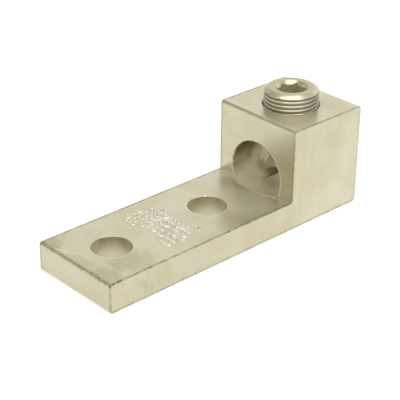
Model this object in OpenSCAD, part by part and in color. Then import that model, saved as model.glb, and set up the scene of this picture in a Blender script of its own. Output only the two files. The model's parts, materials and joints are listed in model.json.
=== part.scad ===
// Mechanical lug: a flat two-hole tang and a bored wire block in one extruded piece, with a set screw.
// The wire lies along X, the tang's underside is the mounting face at Z = 0,
// and the origin is the middle of the lug's footprint.

/* [Body] */
// Length of the whole lug along the wire
body_l = 119.9; // [118:0.1:140]
// Width of the lug, as it was sawn from the extrusion
body_w = 38.1; // [36:0.1:50]
// Length of the wire block
block_l = 34.8; // [30:0.1:38]
// Height of the wire block above the mounting face
block_h = 39.3; // [38:0.1:46]
// Thickness of the tang
tang_t = 11.2; // [8:0.1:12]
// Radius of the extruded edges, which run across the width
edge_r = 1.2; // [0.3:0.1:2]

/* [Wire bore] */
// Diameter of the wire bore
bore_d = 24.6; // [22:0.1:26]
// Thickness of the wall under the wire bore
bore_floor = 3.8; // [3:0.1:5]
// Distance that the drill's full width ran out past the block's front face
runout = 2; // [0.5:0.1:3]
// Included angle of the drill's point, which ends the scoop in the tang
point_angle = 150; // [118:1:160]
// Width of the broken edge around each mouth of the wire bore
bore_edge = 0.4; // [0.2:0.1:0.8]

/* [Bolt holes] */
// Diameter of the two bolt holes
hole_d = 14.3; // [10:0.1:15]
// Distance between the two bolt holes
hole_spacing = 44.45; // [40:0.05:46]
// Distance from the tang's free end to the first bolt hole
hole_setback = 16.3; // [14:0.1:18]
// Width of the broken edge around each bolt hole
hole_edge = 0.25; // [0.1:0.05:0.6]

/* [Set screw] */
// Outside diameter of the screw's thread
screw_d = 20.5; // [19:0.1:21]
// Length of the screw
screw_l = 17.4625; // [16:0.0125:18.5]
// Pitch of the thread
pitch = 1.5875; // [1:0.0005:2]
// Height of the screw's end above the block
screw_proud = 6.6; // [5:0.1:8]
// Rise of the shoulder around the screw's end
shoulder_rise = 1; // [0.8:0.1:1.5]
// Width of the shoulder around the screw's end
shoulder_w = 1.9; // [1:0.1:2]
// Size of the chamfer around the screw's tip
tip_chamfer = 1.2; // [0.8:0.1:1.6]

/* [Key socket] */
// Size across the flats of the hexagonal key socket
socket_af = 9.6; // [8:0.1:10]
// Depth of the flats
socket_depth = 9; // [7:0.1:10]
// Diameter of the 45 degree countersink around the socket's mouth
sink_d = 12.4; // [11.6:0.1:13]
// Angle from the wire's line to a corner of the socket
socket_turn = 24; // [0:1:59]

/* [Tapped hole] */
// Gap between the screw's thread and the wall of its hole
thread_gap = 0.08; // [0.02:0.01:0.1]
// Width of the broken edge around the top of the hole
mouth_edge = 0.5; // [0.2:0.1:1]
// Diameter of the drilled pocket under the hole, in the bore's lower wall
pocket_d = 20; // [17:0.1:20.4]
// Height of the pocket's flat floor above the mounting face
pocket_z = 6.4; // [5:0.1:8]

/* [Hidden] */
$fn = 96;
// Overlap that lets a cutter break cleanly through a face
cut = 1;

bore_r = bore_d / 2;
bore_z = bore_floor + bore_r;
hole_r = hole_d / 2;
screw_r = screw_d / 2;
tapped_r = screw_r + thread_gap;

end_x = body_l / 2;
front_x = end_x - block_l;
screw_x = end_x - block_l / 2;
first_hole_x = hole_setback - end_x;
point_l = bore_r / tan(point_angle / 2);

// The plated thread has broad crests and narrow roots, as shares of the pitch
thread_angle = 60;
crest_w = 0.4 * pitch;
root_w = 0.15 * pitch;
groove_w = pitch - crest_w;
thread_depth = (groove_w - root_w) / 2 / tan(thread_angle / 2);
root_r = screw_r - thread_depth;
first_groove = shoulder_rise + groove_w / 2;
groove_count = 1 + floor((screw_l - first_groove - tip_chamfer - groove_w / 2) / pitch);

sink_r = sink_d / 2;
pilot_point_angle = 118;
pilot_point_l = socket_af / 2 / tan(pilot_point_angle / 2);

// The waste outside a rounded corner at the origin, whose body lies towards +X and +Y
// before it is turned
module corner_waste(r, turn) {
    rotate(turn)
        difference() {
            translate([-cut, -cut]) square(r + cut);
            translate([r, r]) circle(r);
        }
}

// The extrusion's section in the plane of the wire: the tang and the block in one outline
module side_section() {
    difference() {
        union() {
            translate([-end_x, 0]) square([body_l, tang_t]);
            translate([front_x, 0]) square([block_l, block_h]);
        }
        translate([-end_x, 0]) corner_waste(edge_r, 0);
        translate([end_x, 0]) corner_waste(edge_r, 90);
        translate([end_x, block_h]) corner_waste(edge_r, 180);
        translate([front_x, block_h]) corner_waste(edge_r, 270);
        translate([-end_x, tang_t]) corner_waste(edge_r, 270);
    }
}

// The wire bore from end to end of the block, with the scoop that the drill cut into the tang
module wire_bore() {
    translate([front_x - runout, 0, bore_z]) {
        rotate([0, 90, 0]) cylinder(h = block_l + runout + cut, r = bore_r);
        rotate([0, -90, 0]) cylinder(h = point_l, r1 = bore_r, r2 = 0);
    }
}

// The broken edge around a round mouth at the origin, which opens towards +Z
module broken_edge(r, w) {
    translate([0, 0, -w]) cylinder(h = w + cut, r1 = r, r2 = r + w + cut);
}

// The broken edges at both mouths of the wire bore; the front one stops at the tang
module bore_mouths() {
    translate([end_x, 0, bore_z]) rotate([0, 90, 0]) broken_edge(bore_r, bore_edge);
    intersection() {
        translate([front_x, 0, bore_z]) rotate([0, -90, 0]) broken_edge(bore_r, bore_edge);
        translate([front_x - block_l / 2, -body_w / 2, tang_t]) cube([block_l, body_w, block_h]);
    }
}

module bolt_hole() {
    translate([0, 0, -cut]) cylinder(h = tang_t + 2 * cut, r = hole_r);
    translate([0, 0, tang_t]) broken_edge(hole_r, hole_edge);
    mirror([0, 0, 1]) broken_edge(hole_r, hole_edge);
}

// The hole from the bore's middle up through the roof, and the pocket drilled below it
module screw_hole() {
    translate([0, 0, bore_z]) cylinder(h = block_h - bore_z + cut, r = tapped_r);
    translate([0, 0, block_h]) broken_edge(tapped_r, mouth_edge);
    translate([0, 0, pocket_z]) cylinder(h = bore_z - pocket_z, d = pocket_d);
}

module lug_body() {
    color("#d3cab2")
        difference() {
            translate([0, body_w / 2, 0])
                rotate([90, 0, 0])
                    linear_extrude(body_w) side_section();
            wire_bore();
            bore_mouths();
            for (i = [0, 1])
                translate([first_hole_x + i * hole_spacing, 0, 0]) bolt_hole();
            translate([screw_x, 0, 0]) screw_hole();
        }
}

// One groove of the thread, as points from its upper edge to its lower edge
function groove(z) = [
    [screw_r, z + groove_w / 2],
    [root_r, z + root_w / 2],
    [root_r, z - root_w / 2],
    [screw_r, z - groove_w / 2]
];

// Half of the screw's outline, with its tip at the bottom and its thread as a row of grooves
function screw_outline() = concat(
    [
        [0, screw_l],
        [screw_r - shoulder_w, screw_l]
    ],
    [for (i = [0 : groove_count - 1]) each groove(screw_l - first_groove - i * pitch)],
    [
        [screw_r, tip_chamfer],
        [screw_r - tip_chamfer, 0],
        [0, 0]
    ]
);

// The key socket, cut down from the origin: a countersink, six flats and a drill point
module key_socket() {
    translate([0, 0, -sink_r]) cylinder(h = sink_r + cut, r1 = 0, r2 = sink_r + cut);
    translate([0, 0, -socket_depth])
        rotate([0, 0, socket_turn])
            cylinder(h = socket_depth, d = socket_af / cos(30), $fn = 6);
    translate([0, 0, -socket_depth - pilot_point_l])
        cylinder(h = pilot_point_l, r1 = 0, r2 = socket_af / 2);
}

module set_screw() {
    color("#cfc9b8")
        translate([screw_x, 0, block_h + screw_proud - screw_l])
            difference() {
                rotate_extrude() polygon(screw_outline());
                translate([0, 0, screw_l]) key_socket();
            }
}

lug_body();
set_screw();
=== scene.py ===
import json
import math
import random

import bmesh
import bpy
import numpy
from mathutils import Matrix, Vector


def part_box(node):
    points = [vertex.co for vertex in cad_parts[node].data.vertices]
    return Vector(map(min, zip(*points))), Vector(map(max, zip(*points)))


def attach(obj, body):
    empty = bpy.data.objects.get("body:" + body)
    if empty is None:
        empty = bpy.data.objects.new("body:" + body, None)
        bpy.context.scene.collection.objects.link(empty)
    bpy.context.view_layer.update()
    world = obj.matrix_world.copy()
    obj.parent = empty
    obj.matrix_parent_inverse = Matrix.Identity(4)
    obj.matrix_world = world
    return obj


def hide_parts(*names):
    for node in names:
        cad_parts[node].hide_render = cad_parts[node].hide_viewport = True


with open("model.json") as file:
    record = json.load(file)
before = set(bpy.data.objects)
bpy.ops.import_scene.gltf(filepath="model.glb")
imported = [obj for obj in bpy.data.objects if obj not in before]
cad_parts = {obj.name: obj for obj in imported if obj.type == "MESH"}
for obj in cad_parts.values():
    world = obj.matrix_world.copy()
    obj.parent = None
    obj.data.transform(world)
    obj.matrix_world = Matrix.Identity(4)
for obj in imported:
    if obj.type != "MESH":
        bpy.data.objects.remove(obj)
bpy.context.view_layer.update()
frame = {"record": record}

MM = 0.001

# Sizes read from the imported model, in millimetres
BODY_HIGH = Vector(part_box("lug_body")[1]) / MM
SCREW_LOW, SCREW_HIGH = (Vector(corner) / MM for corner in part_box("set_screw"))
MOUNTS = {mount["name"]: mount for mount in frame["record"]["mounts"]}
END_X = BODY_HIGH.x
HALF_W = BODY_HIGH.y
BLOCK_H = BODY_HIGH.z
BORE_R = MOUNTS["wire_bore"]["dims"]["r_mm"]
BORE_Z = MOUNTS["wire_bore"]["pos_m"][2] / MM
HOLE_R = MOUNTS["tang_holes"]["dims"]["hole_r_mm"]
HOLE_SPACING = MOUNTS["tang_holes"]["dims"]["spacing_x_mm"]
HOLES_MIDDLE = MOUNTS["tang_holes"]["pos_m"][0] / MM
HOLES_X = (HOLES_MIDDLE - HOLE_SPACING / 2, HOLES_MIDDLE + HOLE_SPACING / 2)
SCREW_X = MOUNTS["key_socket"]["pos_m"][0] / MM
SCREW_R = (SCREW_HIGH.x - SCREW_LOW.x) / 2
SCREW_L = SCREW_HIGH.z - SCREW_LOW.z
SCREW_TOP = SCREW_HIGH.z
SCREW_BOTTOM = SCREW_LOW.z

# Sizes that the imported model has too, in millimetres
TANG_T = 11.2
BLOCK_L = 34.8
FRONT_X = END_X - BLOCK_L
EDGE_R = 1.2
RUNOUT = 2.0
POINT_ANGLE = math.radians(150)
BORE_EDGE = 0.4
HOLE_EDGE = 0.25
THREAD_GAP = 0.08
MOUTH_EDGE = 0.5
POCKET_R = 10.0
POCKET_Z = 6.4
PITCH = 1.5875
CREST_W = 0.4 * PITCH
ROOT_W = 0.15 * PITCH
THREAD_ANGLE = math.radians(60)
SHOULDER_RISE = 1.0
SHOULDER_W = 1.9
TIP_CHAMFER = 1.2
SOCKET_AF = 9.6
SOCKET_DEPTH = 9.0
SOCKET_TURN = math.radians(24)
SINK_R = 6.2
PILOT_ANGLE = math.radians(118)

# Turn of the thread, which sets where its grooves meet the side that the photo shows
THREAD_TURN = math.radians(1.0)

# Sizes of the finer forms that only this model has, in millimetres
SAW_EDGE = 0.22
TAP_DEPTH = 0.5
SHOULDER_BULGE = 0.06
# Outline of the tapped thread, as shares of the pitch and of its depth
TAP_SECTION = ((0, 0), (0.5, 0), (0.7, 1), (0.8, 1))
# Rounded corners of the screw's crests, as (run along the pitch, drop below the crest)
CREST_ROUNDS = ((0.0, 0.067), (0.05, 0.025), (0.12, 0.0))

# The stamped field on the tang, and its marks
FIELD_LOW = (-31.5, -15.0)
FIELD_HIGH = (-9.5, 15.0)
FIELD_CUTS = 149
MARK_R = 0.44
MARK_DEPTH = 0.24
BURR_W = 0.36
BURR_RISE = 0.12
MARK_SEED = 11
MARK_SPACING = 2.0
MARK_LENGTHS = (0.3, 0.8, 1.2, 1.6)
MARK_TURNS = (0, 0, 0.9, -0.9, math.pi / 2)
# Most that a mark strays along the wire, across it, and in its turn
MARK_STRAY = (0.45, 0.3, 0.15)
# Rows of marks, as (place along the wire, start and end across it)
MARK_ROWS = [
    (-28.4, -12.6, -7.0),
    (-28.4, 6.5, 12.0),
    (-25.9, -12.4, 12.6),
    (-23.4, -12.8, 12.4),
    (-20.9, -12.0, 12.6),
    (-18.4, -11.0, 12.4),
    (-15.9, -9.5, 11.5),
    (-13.4, -12.0, -8.0),
    (-13.4, 6.5, 10.5),
]
# Small nicks along the edges, as (centre, half length along the wire, radius, darkness)
NICKS = [
    ((-59.9, -18.9, 10.6), 0.35, 0.35, 0.8),
    ((-58.3, -19.15, 11.3), 0.75, 0.36, 0.9),
    ((-56.5, -19.15, 11.3), 0.45, 0.4, 0.9),
    ((-54.8, -19.15, 11.3), 0.8, 0.36, 0.8),
    ((-45.0, -19.15, 11.3), 0.4, 0.28, 0.6),
    ((-42.8, -19.15, 11.3), 0.8, 0.38, 0.8),
    ((-6.4, -19.15, 11.3), 0.55, 0.42, 1.0),
    ((-59.8, 18.8, 10.9), 0.5, 0.5, 0.7),
    ((-58.6, 18.3, 11.3), 0.7, 0.35, 0.5),
    ((26.2, -18.9, 39.3), 0.7, 0.4, 0.35),
]
# How far the dark mark of each nick reaches beyond it along X, Y and Z
NICK_BORDER = Vector((0.3, 0.2, 0.2))

# How far a cutter reaches beyond the face that it opens
CUT = 1.0
ROUND_STEPS = 128
THREAD_STEPS = 96
# Distances below which points fall together, for a new mesh and for a finished one
SAME_POINT = 1e-5
SAME_CORNER = 1e-4
# Distance below which a face or a point counts as on the tang's top
ON_TOP = 0.01
# Smallest angles between faces that stay sharp, in degrees
LUG_SHARP = 32
SCREW_SHARP = 22

# Noises in the materials, as (stretch along each axis, size in millimetres, detail)
DIE_LINES = ((1, 0.03, 1), 0.7, 4.0)
SAW_LINES = ((1, 1, 0.05), 0.9, 4.0)
CLOUDS = ((1, 0.6, 1), 9.0, 3.0)
STREAKS = ((1, 0.35, 1), 1.8, 4.0)
EDGE_BREAKS = ((1, 1, 1), 2.6, 4.0)
BORE_MOTTLE = ((0.6, 1, 1), 4.5, 3.0)
DIRT_GRAINS = ((1, 0.6, 1), 1.0, 3.0)
SCREW_CLOUDS = ((1, 1, 1), 5.0, 3.0)
SCREW_SPECKLE = ((1, 1, 1), 1.1, 4.0)

# Depth of the plate's relief, and radius that softens its edges to the light, in millimetres
LUG_RELIEF = 0.009
SCREW_RELIEF = 0.004
SOFT_EDGE = 0.1

# Roughness of the plate from cloud to cloud, and what stains and grime add to it
LUG_ROUGH = (0.28, 0.35)
SCREW_ROUGH = (0.19, 0.25)
STAIN_ROUGH = 0.15
GRIME_ROUGH = 0.3

# How metallic the plate is where it is clean, dull, and deep in the key socket
METALLIC = 0.85
DULL_METALLIC = 0.15
SOCKET_METALLIC = 0.5

# Horizontal direction that runs from left to right in the photo, for shades on round walls
SIDEWAYS = (0.73, -0.68, 0)

# Strengths of what the plate carries, its marks and its painted light and shade, from 0 to 1
STREAK_STRENGTH = 0.35
ROOF_SHADE = 0.95
HOLE_SHADES = (0.62, 0.42)
HOLE_SIDE_SHADE_LOSS = 0.7
HOLE_FLOOR_LIGHT = 0.4
HOLE_SIDE_LIGHT = 0.5
MOTTLE_STRENGTH = 0.4
# Painted highlights on the bore's lip and the holes' rims
LIP_HIGHLIGHT_STRENGTH = 0.8
RIM_HIGHLIGHT_STRENGTH = 0.6
LINE_STRENGTH = 0.8
BAND_STRENGTH = 0.75
# Painted contact shadow at the feet of the rounded bottom edges
FOOT_SHADE_STRENGTH = 0.8
GRAIN_STRENGTH = 0.65
DENT_DULLNESS = 0.6
THREAD_STRENGTH = 0.65
# Painted shade on the thread's right and left sides
THREAD_RIGHT_SHADE = 0.5
THREAD_LEFT_SHADE = 0.1
# Grime and painted shade in the thread's grooves
GROOVE_GRIME_AND_SHADE = 0.6
SHOULDER_STRENGTH = 0.8
RING_STRENGTH = 0.85

# Colours of the plate, its stains, dirt and grime, and its painted light and shade, as linear red,
# green and blue
PLATE_LIGHT = (0.69, 0.645, 0.47, 1)
PLATE_YELLOW = (0.66, 0.61, 0.415, 1)
PLATE_STREAK = (0.57, 0.53, 0.385, 1)
STAIN_OLIVE = (0.46, 0.42, 0.20, 1)
# Wear with painted shade on the rounded edges
BAND_WEAR_AND_SHADE = (0.50, 0.455, 0.23, 1)
SINK_OLIVE = (0.62, 0.575, 0.38, 1)
RING_OLIVE = (0.50, 0.455, 0.28, 1)
SHOULDER_OLIVE = (0.63, 0.58, 0.40, 1)
# Painted shade and painted light on the walls of the wire bore and the bolt holes
BORE_PAINTED_SHADE = (0.19, 0.165, 0.09, 1)
BORE_PAINTED_LIGHT = (0.92, 0.86, 0.62, 1)
BORE_STAIN = (0.50, 0.43, 0.22, 1)
# Painted shade in and beside the pocket
POCKET_PAINTED_SHADE = (0.28, 0.23, 0.11, 1)
# Painted highlight on the rims, which the paler places on the sawn faces share
PALE_AND_HIGHLIGHT = (0.88, 0.83, 0.66, 1)
# Bright struck burrs and burnished spots, with painted highlights
STRUCK_AND_HIGHLIGHTS = (0.93, 0.91, 0.85, 1)
# Dirt near the ends, and wear with painted contact shadow along the edge lines
EDGE_DIRT_AND_SHADE = (0.28, 0.255, 0.14, 1)
NICK_DARK = (0.12, 0.10, 0.05, 1)
# Painted shade in the stamped dents
DENT_SHADE = (0.64, 0.61, 0.50, 1)
THREAD_OLIVE = (0.62, 0.575, 0.42, 1)
SCREW_LIGHT = (0.80, 0.76, 0.62, 1)
SCREW_YELLOW = (0.73, 0.69, 0.53, 1)
# Grime and painted shade in the thread's grooves, and painted shade on its sides
GRIME_AND_SHADE = (0.17, 0.155, 0.10, 1)

# Stains on the lug, as (centre, half sizes, strength)
STAINS = [
    ((-57.0, 14.8, 11.2), (3.6, 5.0, 1.0), 0.6),
    ((-58.6, 17.4, 11.2), (1.8, 2.4, 1.0), 0.8),
    ((-56.0, -14.0, 11.2), (5.0, 7.0, 1.0), 0.5),
    ((-45.0, -12.0, 11.2), (10.5, 7.0, 1.0), 0.45),
    ((-57.8, -0.5, 11.2), (3.0, 8.0, 1.0), 0.3),
    ((9.0, 6.0, 11.2), (9.0, 12.0, 1.0), 0.12),
    ((-42.5, -17.6, 11.2), (4.0, 2.2, 1.0), 0.35),
    ((53.0, -10.0, 39.3), (10.0, 9.0, 1.0), 0.12),
    ((33.0, -9.0, 39.3), (11.0, 11.0, 1.0), 0.15),
    ((-44.7, -19.0, 3.6), (0.9, 0.5, 2.6), 0.3),
    ((-42.2, -19.0, 3.2), (0.8, 0.5, 2.0), 0.3),
    ((-46.5, -19.0, 6.5), (2.2, 0.5, 1.6), 0.2),
]
# Painted shade in and beside the pocket, in the same form
POCKET_SHADE_PATCHES = [
    ((43.0, 10.9, 11.0), (6.5, 5.0, 6.0), 0.85),
    ((42.5, 0.0, 6.4), (10.2, 10.2, 2.6), 0.7),
]

# Painted light and painted shade on the wire bore's wall, in the same form
BORE_LIGHT_PATCHES = [
    ((42.0, 12.0, 14.0), (2.6, 3.0, 3.6), 0.7),
    ((28.0, 9.5, 8.0), (3.4, 3.4, 3.6), 0.8),
]
BORE_SHADE_PATCHES = [
    ((34.0, 12.2, 18.5), (1.8, 3.0, 6.0), 0.5),
    ((47.0, 11.5, 12.5), (3.0, 3.0, 4.0), 0.4),
]

# Burnished spots and painted highlights on the rims, in the same form
BURNISHED_AND_HIGHLIGHTS = [
    ((25.2, 12.0, 20.0), (0.6, 0.6, 0.6), 1.0),
    ((25.2, 12.3, 16.7), (0.6, 0.6, 0.6), 1.0),
    ((5.4, 6.0, 11.2), (0.6, 0.6, 0.6), 1.0),
    ((22.0, 4.6, 10.8), (1.8, 3.4, 1.6), 0.5),
    ((25.6, -19.0, 38.5), (0.45, 0.5, 0.5), 0.7),
]
# Paler places on the sawn faces, in the same form
PALE = [
    ((45.0, -19.0, 3.0), (18.0, 4.0, 12.0), 0.3),
    ((56.0, -19.0, 20.0), (8.0, 4.0, 22.0), 0.2),
]
# Places where the plate is duller and scatters the light, in the same form
DULL = [
    ((26.3, 9.0, 7.6), (3.6, 5.0, 4.0), 0.6),
    ((32.0, 2.0, 4.0), (12.0, 9.0, 4.0), 0.5),
    ((13.0, -6.0, 11.2), (13.0, 17.0, 0.8), 0.5),
    ((23.5, 16.0, 11.2), (5.0, 6.0, 0.8), 0.7),
    ((35.0, -9.0, 39.3), (10.0, 10.0, 0.8), 0.4),
]

# Share of the floor's white that doesn't depend on the light that falls on it
FLOOR_GLOW = 0.8
FLOOR_COLOUR = (0.3, 0.3, 0.3, 1)
FLOOR_SIZE = 2000
# Gap between the floor and the lug's underside, which keeps the two faces apart
FLOOR_GAP = 0.05

WHITE = (1, 1, 1, 1)
# Levels of the studio's light overhead and on its dimmer side, beside 1 at the horizon
OVERHEAD_LEVEL = 0.7
DIM_SIDE_LEVEL = 0.61
DIM_SIDE = (-0.643, 0.766, 0)

# The softbox's place and size in metres, its power in watts, and the point that it faces
SOFTBOX_AT = (-0.03, -0.07, 0.75)
SOFTBOX_SIZE = (0.66, 0.66)
SOFTBOX_POWER = 2.1
SOFTBOX_AIM = (0, 0, 0.015)

# The camera from a fit to the lug's corners: lens and sensor width, place, and turns in degrees
SENSOR_W = 36.0
LENS = 117.835
CAMERA_AT = (-284.15, -301.97, 234.31)
CAMERA_PAN = -42.973
CAMERA_TILT = -28.015
CAMERA_ROLL = 0.578


def mesh_object(name, bm):
    """A new object in the scene from a bmesh in millimetres, with its faces turned outwards."""
    bmesh.ops.remove_doubles(bm, verts=bm.verts, dist=SAME_POINT)
    bmesh.ops.recalc_face_normals(bm, faces=bm.faces)
    mesh = bpy.data.meshes.new(name)
    bm.to_mesh(mesh)
    bm.free()
    piece = bpy.data.objects.new(name, mesh)
    bpy.context.scene.collection.objects.link(piece)
    return piece


def evaluated_mesh(piece):
    """The piece's mesh with its modifiers applied."""
    depsgraph = bpy.context.evaluated_depsgraph_get()
    return bpy.data.meshes.new_from_object(piece.evaluated_get(depsgraph))


def combine(piece, other, operation):
    """Joins, cuts or intersects piece with other, and removes other."""
    modifier = piece.modifiers.new("combine", "BOOLEAN")
    modifier.operation = operation
    modifier.solver = "EXACT"
    modifier.object = other
    mesh = evaluated_mesh(piece)
    piece.modifiers.clear()
    piece.data = mesh
    bpy.data.objects.remove(other)


def cut(piece, *cutters):
    for cutter in cutters:
        combine(piece, cutter, "DIFFERENCE")


def lathe(name, outline, steps=ROUND_STEPS):
    """A closed solid turned about Z, from (radius, height) points that start and end on the axis."""
    bm = bmesh.new()
    rings = []
    for radius, height in outline:
        count = steps if radius > 0 else 1
        turns = [math.tau * i / steps for i in range(count)]
        rings.append([
            bm.verts.new((radius * math.cos(a), radius * math.sin(a), height)) for a in turns
        ])
    for low, high in zip(rings, rings[1:]):
        for i in range(steps):
            corners = [
                low[i % len(low)],
                low[(i + 1) % len(low)],
                high[(i + 1) % len(high)],
                high[i % len(high)],
            ]
            bm.faces.new(list(dict.fromkeys(corners)))
    return mesh_object(name, bm)


def placed(piece, turn=Matrix.Identity(4), at=(0, 0, 0)):
    """Turns and then moves a piece's mesh, and returns the piece."""
    piece.data.transform(Matrix.Translation(at) @ turn)
    return piece


def quarter_turn(steps=3):
    """Angles from 0 to a quarter turn."""
    return [math.pi / 2 * i / steps for i in range(steps + 1)]


def flare(radius, width):
    """(radius, height) points of a rounded mouth that opens upwards and ends at height 0."""
    return [
        (radius + width * (1 - math.cos(a)), -width * (1 - math.sin(a))) for a in quarter_turn()
    ]


def side_outline(inset):
    """Points round the L-shaped section as (x, z), moved inwards by inset."""
    radius = EDGE_R - inset
    rounded = [
        (-END_X + EDGE_R, EDGE_R, 180),
        (END_X - EDGE_R, EDGE_R, 270),
        (END_X - EDGE_R, BLOCK_H - EDGE_R, 0),
        (FRONT_X + EDGE_R, BLOCK_H - EDGE_R, 90),
        None,
        (-END_X + EDGE_R, TANG_T - EDGE_R, 90),
    ]
    points = []
    for corner in rounded:
        if corner is None:
            points.append((FRONT_X + inset, TANG_T - inset))
            continue
        x, z, start = corner
        for turn in quarter_turn(6):
            a = math.radians(start) + turn
            points.append((x + radius * math.cos(a), z + radius * math.sin(a)))
    return points


def at_tang_top(face):
    return abs(face.calc_center_median().z - TANG_T) < ON_TOP


def rule_field(bm):
    """Cuts the tang's top along the four sides of the stamped field, which leaves it one face."""
    upward = 0.99
    bmesh.ops.recalc_face_normals(bm, faces=bm.faces)
    for axis in (0, 1):
        for place in (FIELD_LOW[axis], FIELD_HIGH[axis]):
            top = [face for face in bm.faces if face.normal.z > upward and at_tang_top(face)]
            edges = {edge for face in top for edge in face.edges}
            verts = {vert for face in top for vert in face.verts}
            bmesh.ops.bisect_plane(
                bm,
                geom=[*top, *edges, *verts],
                dist=SAME_CORNER,
                plane_co=(place, place, TANG_T),
                plane_no=(1 - axis, axis, 0),
            )


def extrusion():
    """The sawn length of extrusion, with a small round along both sawn faces."""
    edge = [
        (SAW_EDGE * (1 - math.sin(a)), SAW_EDGE * (1 - math.cos(a))) for a in quarter_turn()
    ]
    rims = [(inset, -HALF_W + y) for inset, y in edge]
    rims += [(inset, HALF_W - y) for inset, y in reversed(edge)]
    bm = bmesh.new()
    loops = [
        [bm.verts.new((x, y, z)) for x, z in side_outline(inset)] for inset, y in rims
    ]
    bm.faces.new(loops[0])
    bm.faces.new(loops[-1])
    count = len(loops[0])
    for near, far in zip(loops, loops[1:]):
        for i in range(count):
            j = (i + 1) % count
            bm.faces.new((near[i], near[j], far[j], far[i]))
    rule_field(bm)
    return mesh_object("lug_extrusion", bm)


def wire_bore_cutter():
    """The drill's whole path: its point, its full width, and the rounded back mouth."""
    length = BLOCK_L + RUNOUT
    point = BORE_R / math.tan(POINT_ANGLE / 2)
    mouth = [(r, length + h) for r, h in flare(BORE_R, BORE_EDGE)]
    beyond = length + CUT
    outline = [(0, -point), (BORE_R, 0), *mouth, (BORE_R + BORE_EDGE, beyond), (0, beyond)]
    along_x = Matrix.Rotation(math.pi / 2, 4, "Y")
    return placed(lathe("bore", outline), along_x, (FRONT_X - RUNOUT, 0, BORE_Z))


def front_mouth_cutter():
    """The rounded front mouth of the wire bore, which stops at the tang."""
    mouth = flare(BORE_R, BORE_EDGE)
    outline = [(0, -CUT), (BORE_R, -CUT), *mouth, (BORE_R + BORE_EDGE, CUT), (0, CUT)]
    against_x = Matrix.Rotation(-math.pi / 2, 4, "Y")
    ring = placed(lathe("front_mouth", outline), against_x, (FRONT_X, 0, BORE_Z))
    bm = bmesh.new()
    bmesh.ops.create_cube(bm, size=1)
    above_tang = mesh_object("above_tang", bm)
    size = Matrix.Diagonal((4 * CUT, 2 * HALF_W, BLOCK_H, 1))
    placed(above_tang, size, (FRONT_X, 0, TANG_T + BLOCK_H / 2))
    combine(ring, above_tang, "INTERSECT")
    return ring


def bolt_hole_cutter(x):
    top = [(r, TANG_T + h) for r, h in flare(HOLE_R, HOLE_EDGE)]
    bottom = [(r, -h) for r, h in reversed(flare(HOLE_R, HOLE_EDGE))]
    wide = HOLE_R + HOLE_EDGE
    outline = [(0, -CUT), (wide, -CUT), *bottom, *top, (wide, TANG_T + CUT), (0, TANG_T + CUT)]
    return placed(lathe("bolt_hole", outline), at=(x, 0, 0))


def threaded_rod(name, section, turns, lift, turned):
    """A right-hand threaded rod about Z, from one pitch of its outline as (height, radius)."""
    bm = bmesh.new()
    columns = turns * THREAD_STEPS + 1
    grid = []
    for c in range(columns):
        a = math.tau * c / THREAD_STEPS + turned
        rise = lift + PITCH * c / THREAD_STEPS
        grid.append([
            bm.verts.new((r * math.cos(a), r * math.sin(a), rise + s)) for s, r in section
        ])
    rows = len(section)
    # The start of each turn is the end of the outline one turn below it
    for c in range(columns - 1):
        for j in range(rows - 1):
            bm.faces.new((grid[c][j], grid[c + 1][j], grid[c + 1][j + 1], grid[c][j + 1]))
        if c + 1 + THREAD_STEPS < columns:
            bm.faces.new((
                grid[c][-1],
                grid[c + 1][-1],
                grid[c + 1 + THREAD_STEPS][0],
                grid[c + THREAD_STEPS][0],
            ))
    first = [grid[c][0] for c in range(THREAD_STEPS + 1)]
    first += reversed(grid[0][1:])
    last = [grid[c][-1] for c in range(columns - 1 - THREAD_STEPS, columns)]
    last += reversed(grid[-1][:-1])
    for loop, height in ((first, lift), (last, lift + PITCH * turns)):
        hub = bm.verts.new((0, 0, height + PITCH / 2))
        for a, b in zip(loop, loop[1:] + loop[:1]):
            bm.faces.new((hub, a, b))
    return mesh_object(name, bm)


def tapped_hole_cutter():
    """The tapped hole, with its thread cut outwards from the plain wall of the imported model."""
    wall = SCREW_R + THREAD_GAP
    section = [(run * PITCH, wall + depth * TAP_DEPTH) for run, depth in TAP_SECTION]
    turns = math.ceil((BLOCK_H - BORE_Z) / PITCH) + 1
    return placed(threaded_rod("tapped_hole", section, turns, BORE_Z, 0), at=(SCREW_X, 0, 0))


def tapped_mouth_cutter():
    wall = SCREW_R + THREAD_GAP
    rim = wall + MOUTH_EDGE
    outline = [(0, -MOUTH_EDGE), (wall, -MOUTH_EDGE), (rim, 0), (rim, CUT), (0, CUT)]
    return placed(lathe("tapped_mouth", outline), at=(SCREW_X, 0, BLOCK_H))


def pocket_cutter():
    outline = [(0, POCKET_Z), (POCKET_R, POCKET_Z), (POCKET_R, BORE_Z), (0, BORE_Z)]
    return placed(lathe("pocket", outline), at=(SCREW_X, 0, 0))


def stamped_marks():
    """Generic stamped rows between the bolt holes, as (place, turn, length) of ticks and dots."""
    draw = random.Random(MARK_SEED)
    stray_x, stray_y, stray_turn = MARK_STRAY
    marks = []
    for x, start, end in MARK_ROWS:
        for i in range(int((end - start) / MARK_SPACING) + 1):
            at_x = x + draw.uniform(-stray_x, stray_x)
            at_y = start + MARK_SPACING * i + draw.uniform(-stray_y, stray_y)
            turn = draw.choice(MARK_TURNS) + draw.uniform(-stray_turn, stray_turn)
            marks.append(((at_x, at_y), turn, draw.choice(MARK_LENGTHS)))
    return marks


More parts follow.
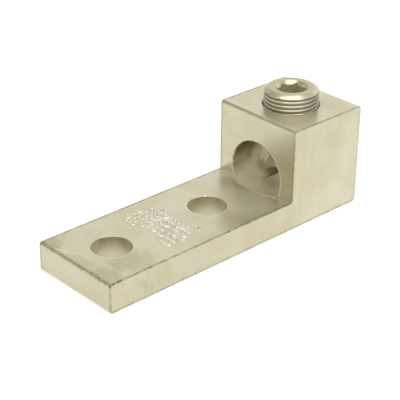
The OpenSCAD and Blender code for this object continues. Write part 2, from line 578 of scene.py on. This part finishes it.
def struck_heights(points):
    """Height of the stamped surface over the tang's top at each (x, y) point."""
    dents = numpy.zeros(len(points))
    burrs = numpy.zeros(len(points))
    for at, turn, length in stamped_marks():
        moved = points - numpy.array(at)
        run = numpy.abs(moved @ numpy.array((math.cos(turn), math.sin(turn)))) - length / 2
        across = moved @ numpy.array((-math.sin(turn), math.cos(turn)))
        away = numpy.hypot(numpy.maximum(run, 0), across)
        off_burr = numpy.abs(away - MARK_R - BURR_W / 3)
        dents = numpy.maximum(dents, numpy.clip(1 - away / MARK_R, 0, 1))
        burrs = numpy.maximum(burrs, numpy.clip(1 - off_burr / BURR_W, 0, 1))
    return numpy.where(dents > 0, -MARK_DEPTH * dents, BURR_RISE * burrs)


def nick_cutters():
    cutters = []
    for centre, half_length, radius, _ in NICKS:
        bm = bmesh.new()
        bmesh.ops.create_icosphere(bm, subdivisions=2, radius=radius)
        turn = Matrix.Rotation(centre[0], 4, (1, 1, 1))
        stretch = Matrix.Diagonal((half_length / radius, 1, 1, 1))
        cutters.append(placed(mesh_object("nick", bm), stretch @ turn, centre))
    return cutters


def stamp(piece):
    """Divides the field's face into a fine grid and strikes the marks into it."""
    bm = bmesh.new()
    bm.from_mesh(piece.data)
    middle = [(low + high) / 2 for low, high in zip(FIELD_LOW, FIELD_HIGH)]
    at_top = (face for face in bm.faces if at_tang_top(face))
    field = min(
        at_top, key=lambda face: math.dist(face.calc_center_median()[:2], middle)
    )
    bmesh.ops.subdivide_edges(bm, edges=field.edges, cuts=FIELD_CUTS, use_grid_fill=True)
    inside = [
        vert for vert in bm.verts
        if abs(vert.co.z - TANG_T) < ON_TOP
        and FIELD_LOW[0] + ON_TOP < vert.co.x < FIELD_HIGH[0] - ON_TOP
        and FIELD_LOW[1] + ON_TOP < vert.co.y < FIELD_HIGH[1] - ON_TOP
    ]
    points = numpy.array([vert.co[:2] for vert in inside])
    for vert, height in zip(inside, struck_heights(points)):
        vert.co.z += height
    bm.to_mesh(piece.data)
    bm.free()


def finish_mesh(piece, name, sharp):
    """Cleans and closes a mesh, smooths it up to an angle, and takes it to metres under a name."""
    bm = bmesh.new()
    bm.from_mesh(piece.data)
    bmesh.ops.remove_doubles(bm, verts=bm.verts, dist=SAME_CORNER)
    bmesh.ops.dissolve_degenerate(bm, edges=bm.edges, dist=SAME_CORNER)
    bmesh.ops.holes_fill(bm, edges=[edge for edge in bm.edges if edge.is_boundary], sides=4)
    bmesh.ops.scale(bm, vec=(MM, MM, MM), verts=bm.verts)
    bm.to_mesh(piece.data)
    bm.free()
    piece.data.polygons.foreach_set("use_smooth", [True] * len(piece.data.polygons))
    piece.data.set_sharp_from_angle(angle=math.radians(sharp))
    modifier = piece.modifiers.new("even_normals", "WEIGHTED_NORMAL")
    modifier.keep_sharp = True
    mesh = evaluated_mesh(piece)
    piece.modifiers.clear()
    piece.data = mesh
    piece.name = name
    piece.data.name = name
    return piece


def build_lug():
    piece = extrusion()
    cut(
        piece,
        wire_bore_cutter(),
        front_mouth_cutter(),
        *[bolt_hole_cutter(x) for x in HOLES_X],
        pocket_cutter(),
        tapped_hole_cutter(),
        tapped_mouth_cutter(),
        *nick_cutters(),
    )
    stamp(piece)
    return finish_mesh(piece, "plated_lug", LUG_SHARP)


def shoulder_points(steps=5):
    """(radius, height) points up the screw's shoulder, which bulges a little beyond its cone."""
    slant = math.hypot(SHOULDER_W, SHOULDER_RISE)
    points = []
    for i in range(steps + 1):
        share = i / steps
        out = SHOULDER_BULGE * 4 * share * (1 - share)
        radius = SCREW_R - SHOULDER_W * share + out * SHOULDER_RISE / slant
        height = SCREW_TOP - SHOULDER_RISE * (1 - share) + out * SHOULDER_W / slant
        points.append((radius, height))
    return points


def screw_thread():
    """The screw's thread as a rod that is longer than the screw at both ends."""
    flank = (PITCH - CREST_W - ROOT_W) / 2
    root = SCREW_R - flank / math.tan(THREAD_ANGLE / 2)
    crest = 2 * flank + ROOT_W
    section = [(0, SCREW_R - CREST_ROUNDS[0][1]), (flank, root), (flank + ROOT_W, root)]
    section += [(crest + run, SCREW_R - drop) for run, drop in CREST_ROUNDS]
    section += [(PITCH - run, SCREW_R - drop) for run, drop in reversed(CREST_ROUNDS[1:])]
    turns = math.ceil(SCREW_L / PITCH) + 3
    return threaded_rod("screw", section, turns, SCREW_BOTTOM - 2 * PITCH, THREAD_TURN)


def screw_outline():
    """The turned outline that the thread is cut down to, wider than the thread between its ends."""
    outside = 0.8
    outline = [
        (0, SCREW_BOTTOM),
        (SCREW_R - TIP_CHAMFER, SCREW_BOTTOM),
        (SCREW_R + outside, SCREW_BOTTOM + TIP_CHAMFER + outside),
        (SCREW_R + outside, SCREW_TOP - SHOULDER_RISE - outside),
        *shoulder_points(),
        (0, SCREW_TOP),
    ]
    return lathe("outline", outline)


def socket_cutters():
    """The countersink, the six flats and the drill point of the key socket."""
    above = SCREW_TOP + CUT
    flats_low = SCREW_TOP - SOCKET_DEPTH
    corner = SOCKET_AF / 2 / math.cos(math.pi / 6)
    pilot_r = SOCKET_AF / 2
    pilot_low = flats_low - pilot_r / math.tan(PILOT_ANGLE / 2)
    sink = [(0, SCREW_TOP - SINK_R), (SINK_R + CUT, above), (0, above)]
    flats = [(0, flats_low), (corner, flats_low), (corner, above), (0, above)]
    pilot = [(0, pilot_low), (pilot_r, flats_low), (0, flats_low + CUT)]
    turned = Matrix.Rotation(SOCKET_TURN, 4, "Z")
    return [
        lathe("sink", sink),
        placed(lathe("flats", flats, 6), turned),
        lathe("pilot", pilot),
    ]


def build_screw():
    """The set screw: a helical thread inside its turned outline, with the key socket cut in."""
    screw = screw_thread()
    combine(screw, screw_outline(), "INTERSECT")
    cut(screw, *socket_cutters())
    placed(screw, at=(SCREW_X, 0, 0))
    return finish_mesh(screw, "threaded_set_screw", SCREW_SHARP)


def node(tree, kind, values=None, **settings):
    """Adds a shader node, with its settings, and each input either linked or set."""
    made = tree.nodes.new("ShaderNode" + kind)
    for key, value in settings.items():
        setattr(made, key, value)
    for key, value in (values or {}).items():
        if isinstance(value, bpy.types.NodeSocket):
            tree.links.new(value, made.inputs[key])
        else:
            made.inputs[key].default_value = value
    return made


def new_material(name):
    material = bpy.data.materials.new(name)
    material.use_nodes = True
    material.node_tree.nodes.clear()
    return material, material.node_tree


def maths(tree, operation, *values):
    return node(tree, "Math", dict(enumerate(values)), operation=operation).outputs[0]


def product(tree, first, *values):
    for value in values:
        first = maths(tree, "MULTIPLY", first, value)
    return first


def highest(tree, first, *values):
    for value in values:
        first = maths(tree, "MAXIMUM", first, value)
    return first


def without(tree, mask):
    """What a mask leaves over, as 1 less the mask."""
    return maths(tree, "SUBTRACT", 1.0, mask)


def off(tree, value, place):
    """Distance of a value from a place, without its sign."""
    return maths(tree, "ABSOLUTE", maths(tree, "SUBTRACT", value, place))


def vector_maths(tree, operation, *values, output="Vector"):
    made = node(tree, "VectorMath", dict(enumerate(values)), operation=operation)
    return made.outputs[output]


def coordinates(tree, vector):
    """The three parts of a vector."""
    parts = node(tree, "SeparateXYZ", {0: vector}).outputs
    return parts["X"], parts["Y"], parts["Z"]


def ramp(tree, value, low, high, out_low=0.0, out_high=1.0):
    """Takes value from the range low to high on to the range out_low to out_high, smoothly."""
    made = node(
        tree,
        "MapRange",
        {"Value": value, "From Min": low, "From Max": high, "To Min": out_low, "To Max": out_high},
        interpolation_type="SMOOTHSTEP",
    )
    return made.outputs["Result"]


def mix_colour(tree, amount, first, second):
    made = node(tree, "Mix", data_type="RGBA")
    for index, value in ((0, amount), (6, first), (7, second)):
        if isinstance(value, bpy.types.NodeSocket):
            tree.links.new(value, made.inputs[index])
        else:
            made.inputs[index].default_value = value
    return made.outputs[2]


def mix_value(tree, amount, first, second):
    made = node(tree, "Mix", {0: amount, 2: first, 3: second}, data_type="FLOAT")
    return made.outputs[0]


def layered(tree, colour, *layers):
    """Lays (mask, colour) layers over a colour, one after the other."""
    for mask, over in layers:
        colour = mix_colour(tree, mask, colour, over)
    return colour


def noise(tree, position, kind):
    """Noise of a kind: its stretch along each axis, its size in millimetres and its detail."""
    scale, size, detail = kind
    moved = vector_maths(tree, "MULTIPLY", position, scale)
    made = node(tree, "TexNoise", {"Vector": moved, "Scale": 1 / size, "Detail": detail})
    return made.outputs["Fac"]


def patch(tree, position, centre, radii, ragged):
    """1 in the middle of an ellipsoid in millimetres, falling to 0 at its ragged border."""
    border = (1.15, 0.45)
    away = vector_maths(tree, "SUBTRACT", position, centre)
    away = vector_maths(tree, "MULTIPLY", away, tuple(1 / radius for radius in radii))
    distance = vector_maths(tree, "LENGTH", away, output="Value")
    return ramp(tree, maths(tree, "ADD", distance, ragged), *border)


def patches(tree, position, places, ragged=0.0):
    """The highest of the patches in a list of (centre, half sizes, strength)."""
    masks = [
        product(tree, patch(tree, position, centre, radii, ragged), strength)
        for centre, radii, strength in places
    ]
    return highest(tree, *masks)


def millimetre_position(tree):
    place = node(tree, "TexCoord").outputs["Object"]
    return node(tree, "VectorMath", {0: place, "Scale": 1 / MM}, operation="SCALE").outputs[0]


def metal_shader(tree, colour, rough, height, depth, metallic):
    """Plated metal with its relief, as height from 0 to 1 over depth in millimetres."""
    edge = node(tree, "Bevel", {"Radius": SOFT_EDGE * MM}, samples=4).outputs[0]
    bump = node(
        tree, "Bump", {"Strength": 1.0, "Distance": depth * MM, "Height": height, "Normal": edge}
    )
    surface = node(
        tree,
        "BsdfPrincipled",
        {
            "Base Color": colour,
            "Metallic": metallic,
            "Roughness": rough,
            "Normal": bump.outputs[0],
        },
    )
    output = node(tree, "OutputMaterial")
    tree.links.new(surface.outputs[0], output.inputs[0])


def bore_reach(tree, position):
    """About the distance in millimetres from the drilled surface of the wire bore and its scoop."""
    x, y, z = coordinates(tree, position)
    rise = maths(tree, "SUBTRACT", z, BORE_Z)
    across = node(tree, "CombineXYZ", {1: y, 2: rise}).outputs[0]
    radius = vector_maths(tree, "LENGTH", across, output="Value")
    ahead = highest(tree, maths(tree, "SUBTRACT", FRONT_X - RUNOUT, x), 0.0)
    slope = math.tan(POINT_ANGLE / 2)
    reach = maths(tree, "ADD", radius, product(tree, ahead, slope))
    reach = maths(tree, "SUBTRACT", reach, BORE_R)
    on_point = maths(tree, "GREATER_THAN", ahead, 0.0)
    return maths(tree, "DIVIDE", reach, maths(tree, "ADD", 1.0, product(tree, on_point, slope)))


def off_axis(tree, position, x):
    """Horizontal vector from the upright axis at x, and its length."""
    away = vector_maths(tree, "SUBTRACT", position, (x, 0, 0))
    flat = vector_maths(tree, "MULTIPLY", away, (1, 1, 0))
    return away, vector_maths(tree, "LENGTH", flat, output="Value")


def lug_grain(tree, position):
    """Die lines, or saw lines on the sawn faces, and the mask of those faces."""
    normal = node(tree, "NewGeometry").outputs["True Normal"]
    _, sideward, _ = coordinates(tree, normal)
    sawn = maths(tree, "GREATER_THAN", off(tree, sideward, 0.0), 0.7)
    die_lines = noise(tree, position, DIE_LINES)
    saw_lines = noise(tree, position, SAW_LINES)
    return mix_value(tree, sawn, die_lines, saw_lines), sawn


def bore_shades(tree, position, in_bore):
    """Masks of the painted shade on the wire bore's roof and of the painted light on its floor."""
    _, _, height = coordinates(tree, position)
    reach = 6
    roof = ramp(tree, height, BORE_Z, BORE_Z + reach, 0.0, ROOF_SHADE)
    floor = ramp(tree, height, BORE_Z, BORE_Z - reach)
    return product(tree, in_bore, roof), product(tree, in_bore, floor)


def hole_shades(tree, position, x, shade):
    """Masks of the painted shade on a bolt hole's upper wall, and of the painted light on its lower
    wall and sides.
    """
    _, _, height = coordinates(tree, position)
    away, radius = off_axis(tree, position, x)
    in_hole = ramp(tree, maths(tree, "SUBTRACT", radius, HOLE_R), 0.15, -0.05)
    upper = ramp(tree, height, TANG_T * 0.4, TANG_T, 0.0, shade)
    lower = ramp(tree, height, TANG_T * 0.6, 0, 0.0, HOLE_FLOOR_LIGHT)
    offset = vector_maths(tree, "DOT_PRODUCT", away, SIDEWAYS, output="Value")
    sides = ramp(tree, off(tree, offset, 0.0), HOLE_R * 0.5, HOLE_R)
    upper = product(tree, upper, without(tree, product(tree, sides, HOLE_SIDE_SHADE_LOSS)))
    lower = highest(tree, lower, product(tree, sides, HOLE_SIDE_LIGHT))
    return product(tree, in_hole, upper), product(tree, in_hole, lower)


def bore_lip_highlight(tree, position, bore):
    """A painted highlight along the broken edge of the bore's front mouth, which is faint on the
    tang's far side.
    """
    along, across, height = coordinates(tree, position)
    middle = 0.35
    rim_highlight = ramp(tree, off(tree, bore, middle), 0.6, 0.25, 0.0, LIP_HIGHLIGHT_STRENGTH)
    in_front = maths(tree, "LESS_THAN", along, FRONT_X + 1)
    nearer = ramp(tree, across, 8, -8, 0.3, 1.0)
    on_tang = ramp(tree, height, TANG_T + 1, TANG_T)
    far = product(tree, on_tang, ramp(tree, across, -4, 6, 0.2, 0.85))
    return product(tree, rim_highlight, in_front, nearer, without(tree, far))


def hole_rim_highlight(tree, position, x):
    """A painted highlight on the near side of a bolt hole's broken edge."""
    along, across, height = coordinates(tree, position)
    _, radius = off_axis(tree, position, x)
    middle = HOLE_R + 0.2
    rim = ramp(tree, off(tree, radius, middle), 0.4, 0.1, 0.0, RIM_HIGHLIGHT_STRENGTH)
    at_top = ramp(tree, height, TANG_T - 0.6, TANG_T - 0.3)
    beside = maths(tree, "ADD", maths(tree, "SUBTRACT", along, x), across)
    return product(tree, rim, at_top, ramp(tree, beside, 0, -7))


def mottle(tree, position):
    """Cloudy stains in the wire bore, weaker near its floor."""
    _, _, height = coordinates(tree, position)
    stains = ramp(tree, noise(tree, position, BORE_MOTTLE), 0.42, 0.62, 0.0, MOTTLE_STRENGTH)
    return product(tree, stains, ramp(tree, height, BORE_Z - 9, BORE_Z - 3, 0.2, 1.0))


def struck_masks(tree, position):
    """1 on the burrs of the stamped field, and 1 in its dents, as two masks."""
    x, y, z = coordinates(tree, position)
    rise = maths(tree, "SUBTRACT", z, TANG_T)
    field = maths(tree, "GREATER_THAN", rise, -MARK_DEPTH - 0.1)
    for axis, place in enumerate((x, y)):
        above = maths(tree, "GREATER_THAN", place, FIELD_LOW[axis])
        below = maths(tree, "LESS_THAN", place, FIELD_HIGH[axis])
        field = product(tree, field, above, below)
    burrs = ramp(tree, rise, BURR_RISE * 0.25, BURR_RISE * 0.7)
    dents = ramp(tree, rise, -0.02, -MARK_DEPTH * 0.4)
    return product(tree, burrs, field), product(tree, dents, field)


def edge_gaps(tree, position):
    """Distances to the tops, to the ends or the block's front, and to the sawn sides.

    Those to the ends and the sides are shortened by a share, which widens the marks there.
    """
    near_share = 0.6
    far_share = 0.4
    end_share = 0.7
    x, y, z = coordinates(tree, position)
    on_block = maths(tree, "GREATER_THAN", x, FRONT_X - 0.2)
    top = off(tree, mix_value(tree, on_block, TANG_T, BLOCK_H), z)
    end = product(tree, maths(tree, "SUBTRACT", END_X, off(tree, x, 0.0)), end_share)
    on_tang = maths(tree, "LESS_THAN", z, TANG_T + 0.4)
    front = maths(tree, "ADD", off(tree, x, FRONT_X), product(tree, on_tang, BLOCK_H))
    far = maths(tree, "GREATER_THAN", y, 0.0)
    side = maths(tree, "SUBTRACT", HALF_W, off(tree, y, 0.0))
    side = product(tree, side, mix_value(tree, far, near_share, far_share))
    return top, maths(tree, "MINIMUM", end, front), side


def edge_marks(tree, position):
    """Masks of the sawn edges' lines, which are wear with painted contact shadow along the bottom,
    of the extruded edges' bands, which are wear with painted shade and painted contact shadow at
    their feet, and of the dirt beside them.
    """
    bottom_share = 0.42
    top, corner, side = edge_gaps(tree, position)
    along, _, height = coordinates(tree, position)
    nearest = maths(tree, "MINIMUM", top, corner)
    # Near the bottom the line is painted contact shadow
    nearest = maths(tree, "MINIMUM", nearest, product(tree, height, bottom_share))
    line_and_shade = ramp(tree, highest(tree, side, nearest), 0.55, 0.2)
    weight = ramp(tree, top, 1.5, 0.3, 0.7, 1.0)
    extruded = highest(tree, top, corner)
    # Band in the middle of each rounded edge: wear, with painted shade
    band_and_shade = ramp(tree, extruded, 0.95, 0.4)
    # Painted contact shadow at the feet of the rounded bottom edges
    foot = ramp(tree, height, EDGE_R - 0.1, 0.5, 0.0, FOOT_SHADE_STRENGTH)
    foot = product(tree, foot, maths(tree, "LESS_THAN", corner, EDGE_R))
    broken = ramp(tree, noise(tree, position, EDGE_BREAKS), 0.4, 0.6, 0.5, 1.0)
    grains = ramp(tree, noise(tree, position, DIRT_GRAINS), 0.5, 0.64, 0.0, GRAIN_STRENGTH)
    on_end = maths(tree, "LESS_THAN", along, -END_X / 2)
    return (
        product(tree, line_and_shade, weight, broken, LINE_STRENGTH),
        product(tree, highest(tree, band_and_shade, foot), broken, BAND_STRENGTH),
        product(tree, ramp(tree, extruded, 2.0, 0.3), grains, on_end),
    )


def nick_mask(tree, position, ragged):
    """Dark marks around the nicks, as deep as each nick's darkness."""
    places = [
        (centre, tuple(Vector((half_length, radius, radius)) + NICK_BORDER), darkness)
        for centre, half_length, radius, darkness in NICKS
    ]
    return patches(tree, position, places, ragged)


def plated_lug_material():
    """Satin plate on the extrusion: die lines across the width, saw lines on the sawn faces, with
    painted light and shade in the bore, the holes and the pocket, and painted highlights on the
    rims.
    """
    material, tree = new_material("plated_body")
    position = millimetre_position(tree)
    lines, sawn = lug_grain(tree, position)
    clouds = noise(tree, position, CLOUDS)
    streaks = noise(tree, position, STREAKS)
    ragged = product(tree, maths(tree, "SUBTRACT", streaks, 0.5), 1.4)

    bore = bore_reach(tree, position)
    in_bore = ramp(tree, bore, 0.2, -0.05)
    shades = [bore_shades(tree, position, in_bore)]
    shades += [hole_shades(tree, position, x, shade) for x, shade in zip(HOLES_X, HOLE_SHADES)]
    # Painted shade in and beside the pocket
    darkening = patches(tree, position, POCKET_SHADE_PATCHES)
    # Painted shade on the bore's roof and the holes' upper walls, and painted light on their lower
    # walls and sides
    painted_shade = highest(tree, *[upper for upper, _ in shades])
    painted_light = product(tree, highest(tree, *[lower for _, lower in shades]), without(tree, darkening))
    # Painted light and painted shade on the bore's wall
    light = product(tree, patches(tree, position, BORE_LIGHT_PATCHES, ragged), in_bore)
    painted_bore_shade = product(tree, patches(tree, position, BORE_SHADE_PATCHES, ragged), in_bore)

    # Painted highlights on the holes' rims and the bore's lip
    rims = [hole_rim_highlight(tree, position, x) for x in HOLES_X]
    rim_highlight = highest(tree, bore_lip_highlight(tree, position, bore), *rims)
    pale = product(tree, patches(tree, position, PALE), sawn)
    stains = patches(tree, position, STAINS, ragged)
    line_and_shade, band_and_shade, dirt = edge_marks(tree, position)
    burrs, dents = struck_masks(tree, position)
    burrs = product(tree, burrs, ramp(tree, streaks, 0.42, 0.6, 0.1, 1.0))
    # Bright burrs and burnished spots, with painted highlights
    struck_and_highlights = highest(tree, burrs, patches(tree, position, BURNISHED_AND_HIGHLIGHTS))

    colour = layered(
        tree,
        PLATE_LIGHT,
        (ramp(tree, clouds, 0.35, 0.65), PLATE_YELLOW),
        (ramp(tree, lines, 0.42, 0.75, 0.0, STREAK_STRENGTH), PLATE_STREAK),
        (stains, STAIN_OLIVE),
        # Painted shade on the bore's roof and the holes' upper walls, and painted light on their
        # lower walls and sides
        (painted_shade, BORE_PAINTED_SHADE),
        (painted_light, BORE_PAINTED_LIGHT),
        (product(tree, mottle(tree, position), in_bore), BORE_STAIN),
        # Painted shade in and beside the pocket
        (darkening, POCKET_PAINTED_SHADE),
        # Painted light and painted shade on the bore's wall
        (light, BORE_PAINTED_LIGHT),
        (painted_bore_shade, BORE_PAINTED_SHADE),
        # Painted highlights on the rims, and the paler places on the sawn faces
        (highest(tree, rim_highlight, pale), PALE_AND_HIGHLIGHT),
        (dirt, EDGE_DIRT_AND_SHADE),
        # Wear, with painted contact shadow along the bottom
        (line_and_shade, EDGE_DIRT_AND_SHADE),
        # Wear, with painted shade on the rounds and painted contact shadow at their feet
        (band_and_shade, BAND_WEAR_AND_SHADE),
        (nick_mask(tree, position, ragged), NICK_DARK),
        # Painted shade in the stamped dents
        (dents, DENT_SHADE),
        # Bright burrs and burnished spots, with painted highlights
        (struck_and_highlights, STRUCK_AND_HIGHLIGHTS),
    )
    dull = patches(tree, position, DULL)
    dull = highest(tree, dull, painted_light, rim_highlight, light, product(tree, dents, DENT_DULLNESS), struck_and_highlights)
    rough = ramp(tree, clouds, 0.3, 0.7, *LUG_ROUGH)
    rough = maths(tree, "ADD", rough, product(tree, stains, STAIN_ROUGH))
    metallic = mix_value(tree, dull, METALLIC, DULL_METALLIC)
    metal_shader(tree, colour, rough, lines, LUG_RELIEF, metallic)
    return material


def thread_masks(tree, away, radius, height):
    """Masks of the screw's thread, of the painted shade on its left and right sides, and of its
    grooves.
    """
    outside = maths(tree, "GREATER_THAN", radius, SCREW_R - 1.0)
    below = maths(tree, "LESS_THAN", height, SCREW_TOP - SHOULDER_RISE)
    threaded = product(tree, outside, below)
    # Painted shade towards the thread's right and left sides
    rightward = vector_maths(tree, "DOT_PRODUCT", away, SIDEWAYS, output="Value")
    right = ramp(tree, rightward, 3.0, 9.0, 0.0, THREAD_RIGHT_SHADE)
    left = ramp(tree, rightward, -7.0, -10.0, 0.0, THREAD_LEFT_SHADE)
    grooves = ramp(tree, radius, SCREW_R - 0.12, SCREW_R - 0.4)
    sides = product(tree, threaded, highest(tree, right, left))
    return threaded, sides, product(tree, threaded, grooves)


def plated_screw_material():
    """Brighter plate on the turned screw, with grime and painted shade down in the thread, painted
    shade on its left and right sides, and olive on its end.
    """
    material, tree = new_material("plated_screw")
    position = millimetre_position(tree)
    _, _, height = coordinates(tree, position)
    away, radius = off_axis(tree, position, SCREW_X)
    clouds = noise(tree, position, SCREW_CLOUDS)
    threaded, sides, darkening = thread_masks(tree, away, radius, height)
    foot = SCREW_TOP - SHOULDER_RISE
    shoulder = ramp(tree, height, foot - 0.1, foot, 0.0, SHOULDER_STRENGTH)
    ring = ramp(tree, height, SCREW_TOP - 0.15, SCREW_TOP - 0.03, 0.0, RING_STRENGTH)
    in_socket = ramp(tree, radius, SINK_R, SINK_R - 0.5)
    colour = layered(
        tree,
        SCREW_LIGHT,
        (ramp(tree, clouds, 0.35, 0.65), SCREW_YELLOW),
        (product(tree, threaded, THREAD_STRENGTH), THREAD_OLIVE),
        # Painted shade on the thread's sides
        (sides, GRIME_AND_SHADE),
        # Grime and painted shade in the grooves
        (product(tree, darkening, GROOVE_GRIME_AND_SHADE), GRIME_AND_SHADE),
        (shoulder, SHOULDER_OLIVE),
        (ring, RING_OLIVE),
        (in_socket, SINK_OLIVE),
    )
    sunk = ramp(tree, height, SCREW_TOP - 0.5, SCREW_TOP - 1.5)
    deep = product(tree, in_socket, sunk)
    metallic = ramp(tree, deep, 0.0, 1.0, METALLIC, SOCKET_METALLIC)
    rough = ramp(tree, clouds, 0.3, 0.7, *SCREW_ROUGH)
    rough = maths(tree, "ADD", rough, product(tree, darkening, GRIME_ROUGH))
    speckle = noise(tree, position, SCREW_SPECKLE)
    metal_shader(tree, colour, rough, speckle, SCREW_RELIEF, metallic)
    return material


def floor_material():
    """Pale diffuse floor that shows white, and keeps the shadow of what stands on it."""
    material, tree = new_material("pale_floor")
    path = node(tree, "LightPath")
    rays = ("Is Camera Ray", "Is Glossy Ray", "Is Transmission Ray")
    seen = highest(tree, *[path.outputs[ray] for ray in rays])
    strength = product(tree, seen, FLOOR_GLOW)
    glow = node(tree, "Emission", {"Color": WHITE, "Strength": strength})
    matt = node(tree, "BsdfDiffuse", {"Color": FLOOR_COLOUR})
    both = node(tree, "AddShader", {0: glow.outputs[0], 1: matt.outputs[0]})
    output = node(tree, "OutputMaterial")
    tree.links.new(both.outputs[0], output.inputs[0])
    return material


def build_floor():
    bm = bmesh.new()
    bmesh.ops.create_grid(bm, x_segments=1, y_segments=1, size=FLOOR_SIZE)
    floor = mesh_object("floor", bm)
    floor.data.transform(Matrix.Scale(MM, 4) @ Matrix.Translation((0, 0, -FLOOR_GAP)))
    floor.data.materials.append(floor_material())


def build_world():
    """A studio that is white near the horizon, and dimmer above it and on one side."""
    world = bpy.data.worlds.new("studio")
    bpy.context.scene.world = world
    world.use_nodes = True
    tree = world.node_tree
    tree.nodes.clear()
    direction = node(tree, "TexCoord").outputs["Generated"]
    _, _, height = coordinates(tree, direction)
    level = ramp(tree, height, 0.55, 0.7, 1.0, OVERHEAD_LEVEL)
    sideward = vector_maths(tree, "DOT_PRODUCT", direction, DIM_SIDE, output="Value")
    level = product(tree, level, ramp(tree, sideward, 0.2, 0.5, 1.0, DIM_SIDE_LEVEL))
    path = node(tree, "LightPath")
    strength = highest(tree, level, path.outputs["Is Camera Ray"])
    glow = node(tree, "Background", {"Color": WHITE, "Strength": strength})
    output = node(tree, "OutputWorld")
    tree.links.new(glow.outputs[0], output.inputs[0])


def build_softbox():
    """A square area light above the lug, facing its middle."""
    light = bpy.data.lights.new("overhead", "AREA")
    light.shape = "RECTANGLE"
    light.size, light.size_y = SOFTBOX_SIZE
    light.energy = SOFTBOX_POWER
    lamp = bpy.data.objects.new("overhead", light)
    lamp.location = SOFTBOX_AT
    facing = Vector(SOFTBOX_AIM) - Vector(SOFTBOX_AT)
    lamp.rotation_euler = facing.to_track_quat("-Z", "Y").to_euler()
    bpy.context.scene.collection.objects.link(lamp)


def build_camera():
    """The camera at the photograph's viewing angle, from a fit to the lug's own corners."""
    data = bpy.data.cameras.new("photo_camera")
    data.sensor_width = SENSOR_W
    data.lens = LENS
    camera = bpy.data.objects.new("photo_camera", data)
    turn = (
        Matrix.Rotation(math.radians(CAMERA_PAN), 4, "Z")
        @ Matrix.Rotation(math.radians(90 + CAMERA_TILT), 4, "X")
        @ Matrix.Rotation(math.radians(CAMERA_ROLL), 4, "Z")
    )
    camera.matrix_world = Matrix.Translation(Vector(CAMERA_AT) * MM) @ turn
    bpy.context.scene.collection.objects.link(camera)
    bpy.context.scene.camera = camera


build_camera()
build_world()
build_floor()
build_softbox()
bpy.context.scene.view_settings.view_transform = "Standard"

lug = build_lug()
lug.data.materials.clear()
lug.data.materials.append(plated_lug_material())
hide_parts("lug_body")
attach(lug, "lug")

screw = build_screw()
screw.data.materials.clear()
screw.data.materials.append(plated_screw_material())
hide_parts("set_screw")
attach(screw, "screw")
